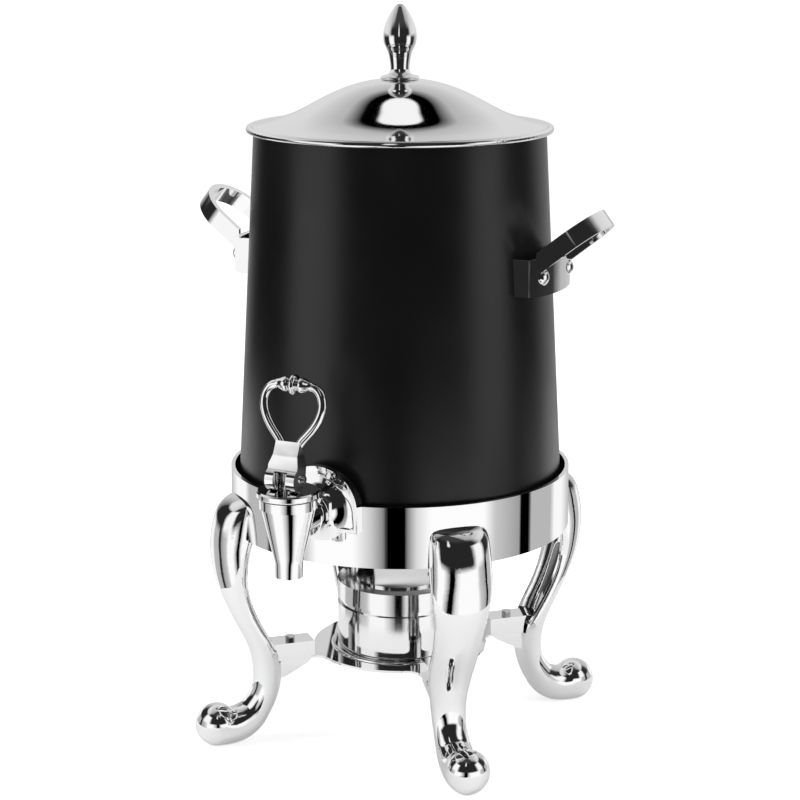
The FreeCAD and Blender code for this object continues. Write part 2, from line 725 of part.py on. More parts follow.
plate_outside = arch("plate_outside", "0", "plate_back", "plate_front - plate_back")
rim_outside = arch("rim_outside", "0", "plate_front", "plate_rim_height")
rim_inside = arch("rim_inside", "plate_rim", "plate_front - 1", "plate_rim_height + 2")
dish_inside = arch("dish_inside", "plate_wall", "plate_back - 5", "plate_front - plate_back + 5 - plate_wall")
rim = cut("plate_rim_ring", rim_outside, rim_inside)
boss = on_shank(turned("plate_boss", [
    ("0", face_back),
    ("boss_radius", face_back),
    ("boss_radius", "plate_front"),
    ("boss_radius - 3.5", "plate_front + boss_height * 0.18"),
    ("boss_top_radius + 3.5", "plate_front + boss_height * 0.5"),
    ("boss_top_radius + 1", "plate_front + boss_height * 0.78"),
    ("boss_top_radius", "plate_front + boss_height"),
    ("0", "plate_front + boss_height")]))
hollow_plate = cut("hollow_plate", plate_outside, dish_inside)
whole_plate = fuse("whole_plate", hollow_plate, rim, boss)
ring_space = cylinder("ring_space", "ring_radius + plate_gap", "200")
ring_space.Placement.Base = Vector(0, 0, 100)
shank_space = cylinder("shank_space", "shank_radius", "200", turn=ALONG_SHANK)
place(shank_space, z="shank_height")
plate_trim = cut("plate_trimmed", whole_plate, ring_space)
keep(cut("plate_drilled", plate_trim, shank_space), "tap_escutcheon")
boss_end = "plate_front + boss_height"
hex_nut("tap_jam_nut", "jam_nut_radius", "jam_nut_height", "shank_radius", boss_end)
coupling_start = "plate_front + boss_height + jam_nut_height"
keep(on_shank(turned("tap_coupling_nut", [
    ("shank_radius", coupling_start + " + 0.5"),
    ("coupling_radius - 2.5", coupling_start + " + 0.5"),
    ("coupling_radius - 2.5", coupling_start + " + 2"),
    ("coupling_radius", coupling_start + " + 2.8"),
    ("coupling_radius", coupling_start + " + 6"),
    ("coupling_radius - 1.6", coupling_start + " + 6.8"),
    ("coupling_radius - 1.6", coupling_start + " + 8"),
    ("coupling_radius - 0.4", coupling_start + " + 8.8"),
    ("coupling_radius - 0.4", coupling_start + " + coupling_length - 0.8"),
    ("coupling_radius - 1.2", coupling_start + " + coupling_length"),
    ("tail_radius", coupling_start + " + coupling_length"),
    ("tail_radius", "shank_end"),
    ("shank_radius", "shank_end")])), "tap_coupling_nut")

# Tap body: a cone with a nozzle below, a collar on top, a chamber with a flat seat, and a tail
collar_base = "nozzle_bottom + nozzle_length + cone_height"
collar_top = "nozzle_bottom + nozzle_length + cone_height + collar_height"
tap = turned("tap_body", [
    ("0", "nozzle_bottom"),
    ("nozzle_radius", "nozzle_bottom"),
    ("nozzle_radius", "nozzle_bottom + nozzle_length"),
    ("cone_top_radius", collar_base),
    ("tap_collar_radius", collar_base),
    ("tap_collar_radius", collar_top),
    ("0", collar_top)])
tail_sketch = round_sketch(tap, "XZ_Plane", "tail_radius", "shank_height", "tail_circle")
tail = tap.newObject("PartDesign::Pad", "tap_tail")
tail.Profile = tail_sketch
tail.setExpression("Length", bound("tap_reach - shank_end"))
tail.Reversed = True
tap.Tip = tail
doc.recompute()
chamber_sketch = outline(tap, "XZ_Plane", [
    ("0", "nozzle_bottom"),
    ("nozzle_bore", "nozzle_bottom"),
    ("nozzle_bore", "seat_height - 6"),
    ("orifice_radius", "seat_height - 3"),
    ("orifice_radius", "seat_height"),
    ("chamber_low_radius", "seat_height"),
    ("chamber_radius", "seat_height + chamber_taper"),
    ("chamber_radius", collar_top),
    ("0", collar_top)], "chamber_outline")
chamber = tap.newObject("PartDesign::Groove", "tap_chamber")
chamber.Profile = chamber_sketch
chamber.ReferenceAxis = (chamber_sketch, ["V_Axis"])
chamber.Angle = 360
tap.Tip = chamber
doc.recompute()
inlet_sketch = round_sketch(tap, "XZ_Plane", "shank_bore", "shank_height", "inlet_circle")
inlet = tap.newObject("PartDesign::Pocket", "tap_inlet")
inlet.Profile = inlet_sketch
inlet.Type = 0
inlet.Length = 60
tap.Tip = inlet
place(tap, y="-tap_reach")
keep(tap, "tap_body")


def on_tap(body):
    place(body, y="-tap_reach")
    return body


keep(on_tap(turned("tap_bonnet_gasket", [
    ("chamber_radius", collar_top),
    ("tap_collar_radius - 0.6", collar_top),
    ("tap_collar_radius - 0.6", collar_top + " + gasket_thickness"),
    ("chamber_radius", collar_top + " + gasket_thickness")])), "tap_bonnet_gasket")
cap_base = "nozzle_bottom + nozzle_length + cone_height + collar_height + gasket_thickness"
cap_top = cap_base + " + bonnet_height"
spring_top = cap_base + " - 1.7"
keep(on_tap(turned("tap_bonnet", [
    ("stem_radius + stem_gap", cap_top),
    ("bonnet_radius - 1.2", cap_top),
    ("bonnet_radius", cap_top + " - 1.2"),
    ("bonnet_radius", cap_base + " + 0.8"),
    ("bonnet_radius - 0.8", cap_base),
    ("chamber_radius", cap_base),
    ("chamber_radius", cap_base + " - bonnet_plug"),
    ("spring_chamber", cap_base + " - bonnet_plug"),
    ("spring_chamber", spring_top),
    ("stem_radius + stem_gap", spring_top)])), "tap_bonnet")

# Stem: slides up through the bonnet, carries the seat cup and the spring, and holds the lever's pin
collar_low = "seat_height + seat_cup_height"
stem = turned("tap_stem", [
    ("0", "seat_height + 3"),
    ("stem_radius - 1.2", "seat_height + 3"),
    ("stem_radius - 1.2", collar_low),
    ("stem_collar_radius", collar_low),
    ("stem_collar_radius", collar_low + " + stem_collar_height"),
    ("stem_radius", collar_low + " + stem_collar_height"),
    ("stem_radius", "stem_top - 1.5"),
    ("stem_radius - 1.5", "stem_top"),
    ("0", "stem_top")])
on_tap(stem)
pin_hole = cylinder("stem_pin_hole", "lever_pin_radius", "40", turn=Rotation(Vector(0, 1, 0), 90))
place(pin_hole, "-20", "-tap_reach", "pivot_height")
keep(cut("tap_stem_drilled", stem, pin_hole), "tap_stem")
keep(on_tap(turned("tap_seat_cup", [
    ("0", "seat_height"),
    ("seat_cup_radius - 1.5", "seat_height"),
    ("seat_cup_radius", "seat_height + 2"),
    ("seat_cup_radius", collar_low),
    ("stem_radius - 1.2", collar_low),
    ("stem_radius - 1.2", "seat_height + 3"),
    ("0", "seat_height + 3")])), "tap_seat_cup")

# Spring: one helix between the stem's collar and the bonnet
wire = get("spring_wire_radius")
spring_low = get("seat_height") + get("seat_cup_height") + get("stem_collar_height") + wire + 0.05
spring_high = (get("nozzle_bottom") + get("nozzle_length") + get("cone_height") + get("collar_height")
               + get("gasket_thickness") - 1.7 - wire - 0.05)
coil = Part.makeHelix((spring_high - spring_low) / get("spring_turns"), spring_high - spring_low,
                      get("spring_coil_radius"))
coil_section = Part.Wire([Part.Circle(Vector(get("spring_coil_radius"), 0, 0), Vector(0, 1, 0), wire).toShape()])
coil_shell = Part.BRepOffsetAPI.MakePipeShell(Part.Wire(coil.Edges))
coil_shell.setFrenetMode(True)
coil_shell.add(coil_section)
coil_shell.build()
coil_shell.makeSolid()
feature("tap_spring", coil_shell.shape(), Placement(Vector(0, -get("tap_reach"), spring_low), Rotation()))


# Lever: fork cheeks with round heels, a neck, and a heart-shaped finger loop with a turned grip.
# It is drawn round its pin and leans back towards the vessel.
HEART_LOW = 26.0
# Shares of the heart's half width and of its rise above the neck
HEART_LEVELS = [(0.69, 0.22), (0.93, 0.46), (1.0, 0.70), (0.87, 0.90), (0.58, 0.985)]


def make_lever():
    half = get("fork_half_width")
    neck = get("lever_neck_half_width")
    slot = get("slot_half_width")
    heel = get("heel_radius")
    rod = get("heart_rod_radius")
    side = Part.makePolygon([Vector(-20, -9.0, 2.0), Vector(-20, -8.6, 9.0), Vector(-20, -4.6, 22.0),
                             Vector(-20, -3.0, 28.0), Vector(-20, 3.0, 28.0), Vector(-20, 4.0, 20.0),
                             Vector(-20, 4.5, 2.0), Vector(-20, 0.0, -4.0), Vector(-20, -5.0, -3.0),
                             Vector(-20, -9.0, 2.0)])
    blade = Part.Face(side).extrude(Vector(40, 0, 0))
    front = Part.makePolygon([Vector(-half, -20, -5.0), Vector(-half, -20, 9.0), Vector(-neck, -20, 16.0),
                              Vector(-neck, -20, 25.5), Vector(neck, -20, 25.5), Vector(neck, -20, 16.0),
                              Vector(half, -20, 9.0), Vector(half, -20, -5.0), Vector(-half, -20, -5.0)])
    blade = blade.common(Part.Face(front).extrude(Vector(0, 40, 0)))
    width = get("heart_half_width")
    top = get("heart_top")
    rise = top - HEART_LOW
    path = [Vector(-5.5, 0, HEART_LOW - 6), Vector(-8.6, 0, HEART_LOW)]
    for out, up in HEART_LEVELS:
        path.append(Vector(-out * width, 0, HEART_LOW + rise * up))
    arms = []
    for sign in (-1, 1):
        curve = Part.BSplineCurve()
        curve.interpolate([Vector(-sign * point.x, 0, point.z) for point in path])
        arm_path = Part.Wire([curve.toShape()])
        start = curve.value(curve.FirstParameter)
        direction = curve.tangent(curve.FirstParameter)[0]
        section = Part.Wire([Part.Circle(start, direction, rod).toShape()])
        arms.append(arm_path.makePipeShell([section], True, False))
    grip_outline = [(-0.62, 2.9), (-0.5, 3.6), (-0.36, 5.0), (-0.2, 5.0), (-0.125, 3.9), (-0.07, 6.6),
                    (0.0, 7.4), (0.07, 6.6), (0.125, 3.9), (0.2, 5.0), (0.36, 5.0), (0.5, 3.6),
                    (0.62, 2.9)]
    grip_points = [Vector(width * along, 0, top + radius) for along, radius in grip_outline]
    grip_curve = Part.BSplineCurve()
    grip_curve.interpolate(grip_points)
    axis_start = Vector(grip_points[0].x, 0, top)
    axis_end = Vector(grip_points[-1].x, 0, top)
    grip_face = Part.Face(Part.Wire([grip_curve.toShape(), Part.makeLine(grip_points[-1], axis_end),
                                     Part.makeLine(axis_end, axis_start),
                                     Part.makeLine(axis_start, grip_points[0])]))
    grip = grip_face.revolve(Vector(0, 0, top), Vector(1, 0, 0), 360)
    lever = blade.fuse(arms).fuse(grip)
    lever.rotate(Vector(), Vector(1, 0, 0), -get("lever_lean"))
    heels = Part.makeCylinder(heel, 2 * half, Vector(-half, -get("heel_offset"), 0), Vector(1, 0, 0))
    bosses = Part.makeCylinder(5.2, 2 * half, Vector(-half, 0, 0), Vector(1, 0, 0))
    lever = lever.fuse(heels).fuse(bosses)
    slot_box = Part.makeBox(2 * slot, 40, 26.5, Vector(-slot, -20, -20))
    lever = lever.cut(slot_box)
    lever = lever.cut(Part.makeCylinder(get("lever_pin_radius") + get("stem_gap"), 60,
                                        Vector(-30, 0, 0), Vector(1, 0, 0)))
    return solid_of(lever)


pivot = Vector(0, -get("tap_reach"), get("pivot_height"))
feature("tap_lever", make_lever(), Placement(pivot, Rotation()))
pin_body = turned("tap_lever_pin", [
    ("0", "-fork_half_width - 2.2"),
    ("lever_pin_radius + 0.6", "-fork_half_width - 2"),
    ("lever_pin_radius + 1.4", "-fork_half_width - 0.2"),
    ("lever_pin_radius", "-fork_half_width - 0.2"),
    ("lever_pin_radius", "fork_half_width + 0.2"),
    ("lever_pin_radius + 1.4", "fork_half_width + 0.2"),
    ("lever_pin_radius + 0.6", "fork_half_width + 2"),
    ("0", "fork_half_width + 2.2")])
pin_body.Placement = Placement(pivot, Rotation(Vector(0, 1, 0), 90))
place(pin_body, y="-tap_reach", z="pivot_height")
keep(pin_body, "tap_lever_pin")


# Handles, drawn with local X pointing away from the urn
def bow(front, half, sag, thickness, low, height):
    radius = (half * half + sag * sag) / (2 * sag)
    middle = front - radius
    outer = Part.makeCylinder(radius, height, Vector(middle, 0, low))
    inner = Part.makeCylinder(radius - thickness, height, Vector(middle, 0, low))
    return outer.cut(inner), radius, middle


def make_bracket():
    half = get("bracket_half_width")
    front = get("bracket_front")
    sag = get("bracket_bow")
    strip = get("bracket_strip")
    height = get("bracket_width")
    low = get("handle_height") - height / 2
    arc, radius, middle = bow(front, half, sag, strip, low, height)
    keep_box = Part.makeBox(200, 2 * half, height, Vector(0, -half, low))
    arc = arc.common(keep_box)
    sides = Part.makeBox(front - sag - 80, 2 * half, height, Vector(80, -half, low))
    sides = sides.cut(Part.makeBox(100, 2 * (half - strip), height, Vector(70, -(half - strip), low)))
    bracket = arc.common(Part.makeBox(200, 2 * half, height, Vector(100, -half, low))).fuse(sides)
    for place_y in (-1, 1):
        rivet_hole = Part.makeCylinder(get("rivet_radius"), 40, Vector(100, place_y * get("rivet_spacing") / 2,
                                                                      get("handle_height")), Vector(1, 0, 0))
        bracket = bracket.cut(rivet_hole)
    base = get("ring_bottom") + get("ledge_thickness")
    cone = Part.makeCone(get("vessel_base_radius"), get("vessel_mouth_radius"), get("vessel_height"),
                         Vector(0, 0, base))
    return solid_of(bracket.cut(cone).removeSplitter())


RIVET_ROOM = 0.3


def make_loop():
    half = get("bracket_half_width")
    front = get("bracket_front")
    sag = get("bracket_bow")
    thick = get("handle_plate")
    height = get("bracket_width")
    low = get("handle_height") - height / 2
    radius = (half * half + sag * sag) / (2 * sag)
    middle = front - radius
    plate = Part.makeCylinder(radius + thick, height, Vector(middle, 0, low))
    plate = plate.cut(Part.makeCylinder(radius, height + 20, Vector(middle, 0, low - 10)))
    plate_half = get("plate_half_width")
    plate = plate.common(Part.makeBox(100, 2 * plate_half, height, Vector(100, -plate_half, low)))
    # The loop's centre line: two straight sides and a half circle, in a plane that leans outwards
    angle = math.radians(get("loop_angle"))
    out = Vector(math.cos(angle), 0, math.sin(angle))
    up = Vector(-math.sin(angle), 0, math.cos(angle))
    root = Vector(front + 0.5, 0, low + height)
    wide = get("loop_half_width") - get("loop_thickness") / 2
    reach = get("loop_reach") - get("loop_thickness") / 2
    side = reach - wide
    band = get("loop_band")
    thickness = get("loop_thickness")

    def at(along, across):
        return root + out * along + Vector(0, across, 0)

    def ring_face(grow):
        turn = wide + grow
        first = at(-6, -turn)
        second = at(side, -turn)
        tip = at(side + turn, 0)
        third = at(side, turn)
        fourth = at(-6, turn)
        return Part.Face(Part.Wire([Part.makeLine(first, second), Part.Arc(second, tip, third).toShape(),
                                    Part.makeLine(third, fourth), Part.makeLine(fourth, first)]))

    outer = ring_face(thickness / 2)
    inner = ring_face(-thickness / 2)
    loop = outer.extrude(up * band).cut(inner.extrude(up * band))
    loop.translate(up * (-band / 2))
    # Nothing of the loop reaches behind the plate's front or into the bracket
    behind = Part.makeCylinder(radius, 120, Vector(middle, 0, low - 40))
    loop = loop.cut(behind)
    # Room round each rivet's head
    for sign in (-1, 1):
        loop = loop.cut(Part.makeCylinder(get("rivet_head_radius") + RIVET_ROOM, 60,
                                          Vector(100, sign * get("rivet_spacing") / 2,
                                                 get("handle_height")), Vector(1, 0, 0)))
    handle = plate.fuse(loop)
    for sign in (-1, 1):
        handle = handle.cut(Part.makeCylinder(get("rivet_radius"), 60,
                                              Vector(100, sign * get("rivet_spacing") / 2,
                                                     get("handle_height")), Vector(1, 0, 0)))
    return solid_of(handle.removeSplitter())


def make_rivets():
    half = get("bracket_half_width")
    sag = get("bracket_bow")
    radius = (half * half + sag * sag) / (2 * sag) + get("handle_plate")
    middle = get("bracket_front") - radius + get("handle_plate")
    rivets = []
    for sign in (-1, 1):
        off = sign * get("rivet_spacing") / 2
        face = middle + math.sqrt(radius ** 2 - off ** 2)
        back = face - get("handle_plate") - get("bracket_strip") - 1.5
        shaft = Part.makeCylinder(get("rivet_radius"), face + 1.0 - back, Vector(back, off, get("handle_height")),
                                  Vector(1, 0, 0))
        head_radius = get("rivet_head_radius")
        rise = get("rivet_head_height")
        ball_radius = (head_radius ** 2 + rise ** 2) / (2 * rise)
        ball = Part.makeSphere(ball_radius, Vector(face + rise - ball_radius + 0.2, off, get("handle_height")))
        zone = Part.makeCylinder(head_radius, 20, Vector(face - 1.2, off, get("handle_height")), Vector(1, 0, 0))
        head = ball.common(zone)
        solid_plate = Part.makeCylinder(radius, 60, Vector(middle, 0, get("handle_height") - 30))
        rivets.append(solid_of(shaft.fuse(head.cut(solid_plate))))
    return Part.makeCompound(rivets)


bracket = make_bracket()
loop = make_loop()
rivets = make_rivets()
for side, angle in (("right", 0), ("left", 180)):
    spin = Placement(Vector(), Rotation(Vector(0, 0, 1), angle))
    feature("handle_bracket_" + side, bracket, spin)
    feature("handle_loop_" + side, loop, spin)
    feature("handle_rivets_" + side, rivets, spin)

# Lid: a spun ogee of even sheet with a rolled rim
mouth = get("ring_bottom") + get("ledge_thickness") + get("vessel_height")
lid_top_z = mouth + get("lid_rise")
brim_z = mouth + get("lid_brim_rise")
brim_r = get("lid_brim_radius")
# Shares of the brim's radius and of the drop from the flat seat at the top to the brim
LID_OGEE = [(0.182, 0.018), (0.327, 0.128), (0.473, 0.319), (0.618, 0.567), (0.764, 0.797), (0.909, 0.937)]
BRIM_SLOPE = 0.21


# The lid's half outline from the edge of its flat seat to the brim, lowered by a distance
def ogee(drop):
    points = [Vector(get("lid_seat_radius"), 0, lid_top_z - drop)]
    for share_out, share_down in LID_OGEE:
        points.append(Vector(brim_r * share_out, 0, lid_top_z - drop - (lid_top_z - brim_z) * share_down))
    points.append(Vector(brim_r, 0, brim_z - drop))
    curve = Part.BSplineCurve()
    curve.interpolate(points, InitialTangent=Vector(1, 0, 0), FinalTangent=Vector(1, 0, -BRIM_SLOPE))
    return curve.toShape(), points[0], points[-1]


def make_lid_shell():
    sheet_wall = get("lid_sheet")
    top_curve, top_start, top_end = ogee(0.0)
    low_curve, low_start, low_end = ogee(sheet_wall)
    top_middle = Vector(0, 0, lid_top_z)
    low_middle = Vector(0, 0, lid_top_z - sheet_wall)
    wire = Part.Wire([Part.makeLine(top_middle, top_start), top_curve, Part.makeLine(top_end, low_end),
                      low_curve, Part.makeLine(low_start, low_middle), Part.makeLine(low_middle, top_middle)])
    shell = Part.Face(wire).revolve(Vector(), Vector(0, 0, 1), 360)
    bead_radius = get("lid_bead_radius")
    bead = Part.makeTorus(brim_r + bead_radius - 0.4, bead_radius, Vector(0, 0, brim_z - bead_radius + 0.2))
    shell = shell.fuse(bead)
    stud_hole = Part.makeCylinder(get("stud_radius"), 40, Vector(0, 0, lid_top_z - 20))
    return solid_of(shell.cut(stud_hole))


feature("lid_shell", make_lid_shell())


# Locating ring: its top follows the underside of the lid and its skirt drops into the vessel's mouth
def make_locating_ring():
    outer = get("locating_radius")
    wall = get("locating_wall")
    flange = get("vessel_mouth_radius") - 0.4
    under = Part.makeCylinder(flange, 12, Vector(0, 0, mouth)).cut(
        Part.makeCylinder(outer - wall, 12, Vector(0, 0, mouth)))
    curve, start, end = ogee(get("lid_sheet"))
    above = [start + Vector(0, 0, 60), end + Vector(0, 0, 60)]
    cutter = Part.Face(Part.Wire([curve, Part.makeLine(end, above[1]), Part.makeLine(above[1], above[0]),
                                  Part.makeLine(above[0], start)]))
    cutter = cutter.revolve(Vector(), Vector(0, 0, 1), 360)
    flange_ring = under.cut(cutter)
    depth = get("locating_depth")
    skirt = Part.makeCylinder(outer, depth + 0.5, Vector(0, 0, mouth - depth)).cut(
        Part.makeCylinder(outer - wall, depth + 0.5, Vector(0, 0, mouth - depth)))
    return solid_of(flange_ring.fuse(skirt).removeSplitter())


feature("lid_locating_ring", make_locating_ring())


# Finial: a turned knob with a flange and a ring, on a stud that goes through the lid
KNOB_LEVELS = [(0.82, 0.065), (0.65, 0.087), (0.585, 0.118), (0.57, 0.165), (0.595, 0.22), (0.645, 0.29),
               (0.75, 0.375), (0.93, 0.46), (1.0, 0.57), (0.95, 0.68), (0.75, 0.80), (0.505, 0.90),
               (0.31, 0.967)]


def make_finial():
    flange = get("finial_flange_radius")
    edge = get("finial_flange_height") / 2
    widest = get("finial_radius")
    tall = get("finial_height")
    stud = get("stud_radius")
    stud_end = lid_top_z - get("lid_sheet") - get("stud_length")
    middle = Vector(0, 0, stud_end)
    foot = Vector(flange - edge, 0, lid_top_z)
    shoulder = Vector(flange - edge, 0, lid_top_z + 2 * edge)
    rim = Part.Arc(foot, Vector(flange, 0, lid_top_z + edge), shoulder).toShape()
    points = [shoulder] + [Vector(widest * out, 0, lid_top_z + tall * up) for out, up in KNOB_LEVELS]
    curve = Part.BSplineCurve()
    curve.interpolate(points)
    tip = Vector(0, 0, lid_top_z + tall)
    # The tip is a part of a ball
    cap_start = points[-1]
    ball_middle = (tip.z + cap_start.z) / 2 - cap_start.x ** 2 / (2 * (tip.z - cap_start.z))
    ball_radius = tip.z - ball_middle
    cap_half = Vector(cap_start.x / 2, 0, ball_middle + math.sqrt(ball_radius ** 2 - cap_start.x ** 2 / 4))
    cap = Part.Arc(cap_start, cap_half, tip).toShape()
    stud_low = Vector(stud, 0, stud_end)
    stud_top = Vector(stud, 0, lid_top_z)
    wire = Part.Wire([rim, curve.toShape(), cap, Part.makeLine(tip, middle), Part.makeLine(middle, stud_low),
                      Part.makeLine(stud_low, stud_top), Part.makeLine(stud_top, foot)])
    return solid_of(Part.Face(wire).revolve(Vector(), Vector(0, 0, 1), 360))


feature("lid_finial", make_finial())
keep(turned("finial_washer", [
    ("stud_radius", "ring_bottom + ledge_thickness + vessel_height + lid_rise - lid_sheet - 1.2"),
    ("stud_radius + 5", "ring_bottom + ledge_thickness + vessel_height + lid_rise - lid_sheet - 1.2"),
    ("stud_radius + 5", "ring_bottom + ledge_thickness + vessel_height + lid_rise - lid_sheet"),
    ("stud_radius", "ring_bottom + ledge_thickness + vessel_height + lid_rise - lid_sheet")]),
    "finial_washer")
nut = doc.addObject("Part::Prism", "finial_nut_prism")
nut.Polygon = 6
bind(nut, Circumradius="stud_radius * 1.9", Height="stud_radius * 1.6")
nut_base = "ring_bottom + ledge_thickness + vessel_height + lid_rise - lid_sheet - 1.2 - stud_radius * 1.6"
place(nut, z=nut_base)
nut_drill = cylinder("finial_nut_drill", "stud_radius", "stud_radius * 1.6")
place(nut_drill, z=nut_base)
keep(cut("finial_nut_cut", nut, nut_drill), "finial_nut")

doc.recompute()
for item in doc.Objects:
    if "Invalid" in item.State or "Error" in item.State:
        raise RuntimeError("failed: %s %s" % (item.Label, item.State))
for item in parts:
    if item.Shape.isNull() or not item.Shape.isValid():
        raise RuntimeError("bad shape: %s" % item.Label)
os.makedirs("parts", exist_ok=True)
for item in parts:
    item.Shape.exportStep("parts/%s.step" % item.Label)
    print("%-24s solids %d volume %.1f" % (item.Label, len(item.Shape.Solids), item.Shape.Volume))
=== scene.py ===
import math
import bpy
from mathutils import Matrix, Vector


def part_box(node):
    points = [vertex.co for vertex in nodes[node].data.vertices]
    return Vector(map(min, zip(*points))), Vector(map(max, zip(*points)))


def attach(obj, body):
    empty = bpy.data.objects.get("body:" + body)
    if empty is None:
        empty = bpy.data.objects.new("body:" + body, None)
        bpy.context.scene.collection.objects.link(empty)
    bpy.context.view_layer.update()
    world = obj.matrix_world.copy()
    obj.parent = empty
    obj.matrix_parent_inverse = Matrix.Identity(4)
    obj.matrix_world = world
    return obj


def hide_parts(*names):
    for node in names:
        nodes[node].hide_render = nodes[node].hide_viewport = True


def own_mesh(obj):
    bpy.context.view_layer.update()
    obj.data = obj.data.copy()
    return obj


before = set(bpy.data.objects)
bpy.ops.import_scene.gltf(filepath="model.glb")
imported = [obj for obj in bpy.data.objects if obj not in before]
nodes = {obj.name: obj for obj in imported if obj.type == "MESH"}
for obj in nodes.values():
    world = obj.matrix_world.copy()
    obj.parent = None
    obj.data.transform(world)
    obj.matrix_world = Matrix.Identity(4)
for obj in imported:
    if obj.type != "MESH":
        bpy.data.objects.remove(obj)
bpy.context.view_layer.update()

scene = bpy.context.scene
scene.view_settings.view_transform = "Standard"

# Stand ring: one band of mirror-polished stainless steel with a ledge inside, held by a screw at each leg.
# Its polishing lines run round it, and hands have left the faintest smears.
POLISH_LINE_SCALE = 700.0
POLISH_LINE_STRENGTH = 0.05
SMEAR_DETAIL = 4.0


# A new node-based material with its tree and surface shader
def new_material(name, base, metallic, roughness):
    material = bpy.data.materials.new(name)
    material.use_nodes = True
    tree = material.node_tree
    shader = tree.nodes["Principled BSDF"]
    shader.inputs["Base Color"].default_value = (*base, 1.0)
    shader.inputs["Metallic"].default_value = metallic
    shader.inputs["Roughness"].default_value = roughness
    return material, tree, shader


# Noise over the object's own coordinates
def noise_node(tree, scale, detail, stretch=(1.0, 1.0, 1.0)):
    place = tree.nodes.new("ShaderNodeTexCoord")
    mapping = tree.nodes.new("ShaderNodeMapping")
    mapping.inputs["Scale"].default_value = stretch
    noise = tree.nodes.new("ShaderNodeTexNoise")
    noise.inputs["Scale"].default_value = scale
    noise.inputs["Detail"].default_value = detail
    tree.links.new(place.outputs["Object"], mapping.inputs["Vector"])
    tree.links.new(mapping.outputs["Vector"], noise.inputs["Vector"])
    return noise.outputs["Fac"]


# A value's useful range stretched to new limits
def remap(tree, value, low, high, start=0.35, end=0.65):
    node = tree.nodes.new("ShaderNodeMapRange")
    node.inputs["From Min"].default_value = start
    node.inputs["From Max"].default_value = end
    node.inputs["To Min"].default_value = low
    node.inputs["To Max"].default_value = high
    tree.links.new(value, node.inputs["Value"])
    return node.outputs["Result"]


def add_bump(tree, shader, height, strength, distance):
    bump = tree.nodes.new("ShaderNodeBump")
    bump.inputs["Strength"].default_value = strength
    bump.inputs["Distance"].default_value = distance
    tree.links.new(height, bump.inputs["Height"])
    if shader.inputs["Normal"].is_linked:
        tree.links.new(shader.inputs["Normal"].links[0].from_socket, bump.inputs["Normal"])
    tree.links.new(bump.outputs["Normal"], shader.inputs["Normal"])


# Bare metal: smears in its roughness, fine lines left by polishing and, on a casting, soft waves.
# The waves are given as their scale, strength and depth.
def bare_metal(name, base, low, high, smear, line_stretch, line_depth, waves=None):
    material, tree, shader = new_material(name, base, 1.0, low)
    smears = noise_node(tree, smear, SMEAR_DETAIL)
    tree.links.new(remap(tree, smears, low, high), shader.inputs["Roughness"])
    lines = noise_node(tree, POLISH_LINE_SCALE, 2.0, line_stretch)
    add_bump(tree, shader, lines, POLISH_LINE_STRENGTH, line_depth)
    if waves:
        scale, strength, depth = waves
        add_bump(tree, shader, noise_node(tree, scale, 1.0), strength, depth)
    return material


# Smooth shading up to an angle, as a modifier that leaves the mesh as it is
SHARP_ANGLE = math.radians(32)
MERGE_DISTANCE = 0.000002
SMOOTH = bpy.data.node_groups.new("smooth_by_angle", "GeometryNodeTree")
SMOOTH.interface.new_socket("Geometry", in_out="INPUT", socket_type="NodeSocketGeometry")
SMOOTH.interface.new_socket("Geometry", in_out="OUTPUT", socket_type="NodeSocketGeometry")
smooth_start = SMOOTH.nodes.new("NodeGroupInput")
smooth_end = SMOOTH.nodes.new("NodeGroupOutput")
smooth_angle = SMOOTH.nodes.new("GeometryNodeInputMeshEdgeAngle")
smooth_limit = SMOOTH.nodes.new("FunctionNodeCompare")
smooth_limit.data_type = "FLOAT"
smooth_limit.operation = "LESS_EQUAL"
smooth_limit.inputs[1].default_value = SHARP_ANGLE
smooth_merge = SMOOTH.nodes.new("GeometryNodeMergeByDistance")
smooth_merge.inputs["Distance"].default_value = MERGE_DISTANCE
smooth_faces = SMOOTH.nodes.new("GeometryNodeSetShadeSmooth")
smooth_faces.domain = "FACE"
smooth_edges = SMOOTH.nodes.new("GeometryNodeSetShadeSmooth")
smooth_edges.domain = "EDGE"
SMOOTH.links.new(smooth_start.outputs[0], smooth_merge.inputs["Geometry"])
SMOOTH.links.new(smooth_merge.outputs["Geometry"], smooth_faces.inputs["Geometry"])
SMOOTH.links.new(smooth_faces.outputs["Geometry"], smooth_edges.inputs["Geometry"])
SMOOTH.links.new(smooth_angle.outputs["Unsigned Angle"], smooth_limit.inputs[0])
SMOOTH.links.new(smooth_limit.outputs["Result"], smooth_edges.inputs["Shade Smooth"])
SMOOTH.links.new(smooth_edges.outputs["Geometry"], smooth_end.inputs[0])


# Gives pieces their material and their smooth shading
def finish(names, material):
    for name in names:
        piece = nodes[name]
        piece.data.materials.clear()
        piece.data.materials.append(material)
        modifier = piece.modifiers.new("smooth", "NODES")
        modifier.node_group = SMOOTH


FINE_LINE_DEPTH = 0.00001
EVEN_LINES = (1.0, 1.0, 1.0)
RING_LINES = (1.0, 1.0, 6.0)
ring_metal = bare_metal("ring_steel", (0.93, 0.93, 0.935), 0.015, 0.035, 18.0, RING_LINES, FINE_LINE_DEPTH)
finish(["stand_ring"], ring_metal)

# Legs: four hollow cast cabriole legs, polished by hand, each screwed to the ring and to its tray arm.
# Hand polishing leaves soft waves in the casting, which make its reflections swim.
CAST_COLOUR = (0.92, 0.92, 0.925)
LEG_WAVES = (38.0, 0.3, 0.0008)
leg_metal = bare_metal("leg_casting", CAST_COLOUR, 0.02, 0.05, 30.0, EVEN_LINES, FINE_LINE_DEPTH, LEG_WAVES)
finish(["leg_front_left", "leg_front_right", "leg_back_left", "leg_back_right"], leg_metal)

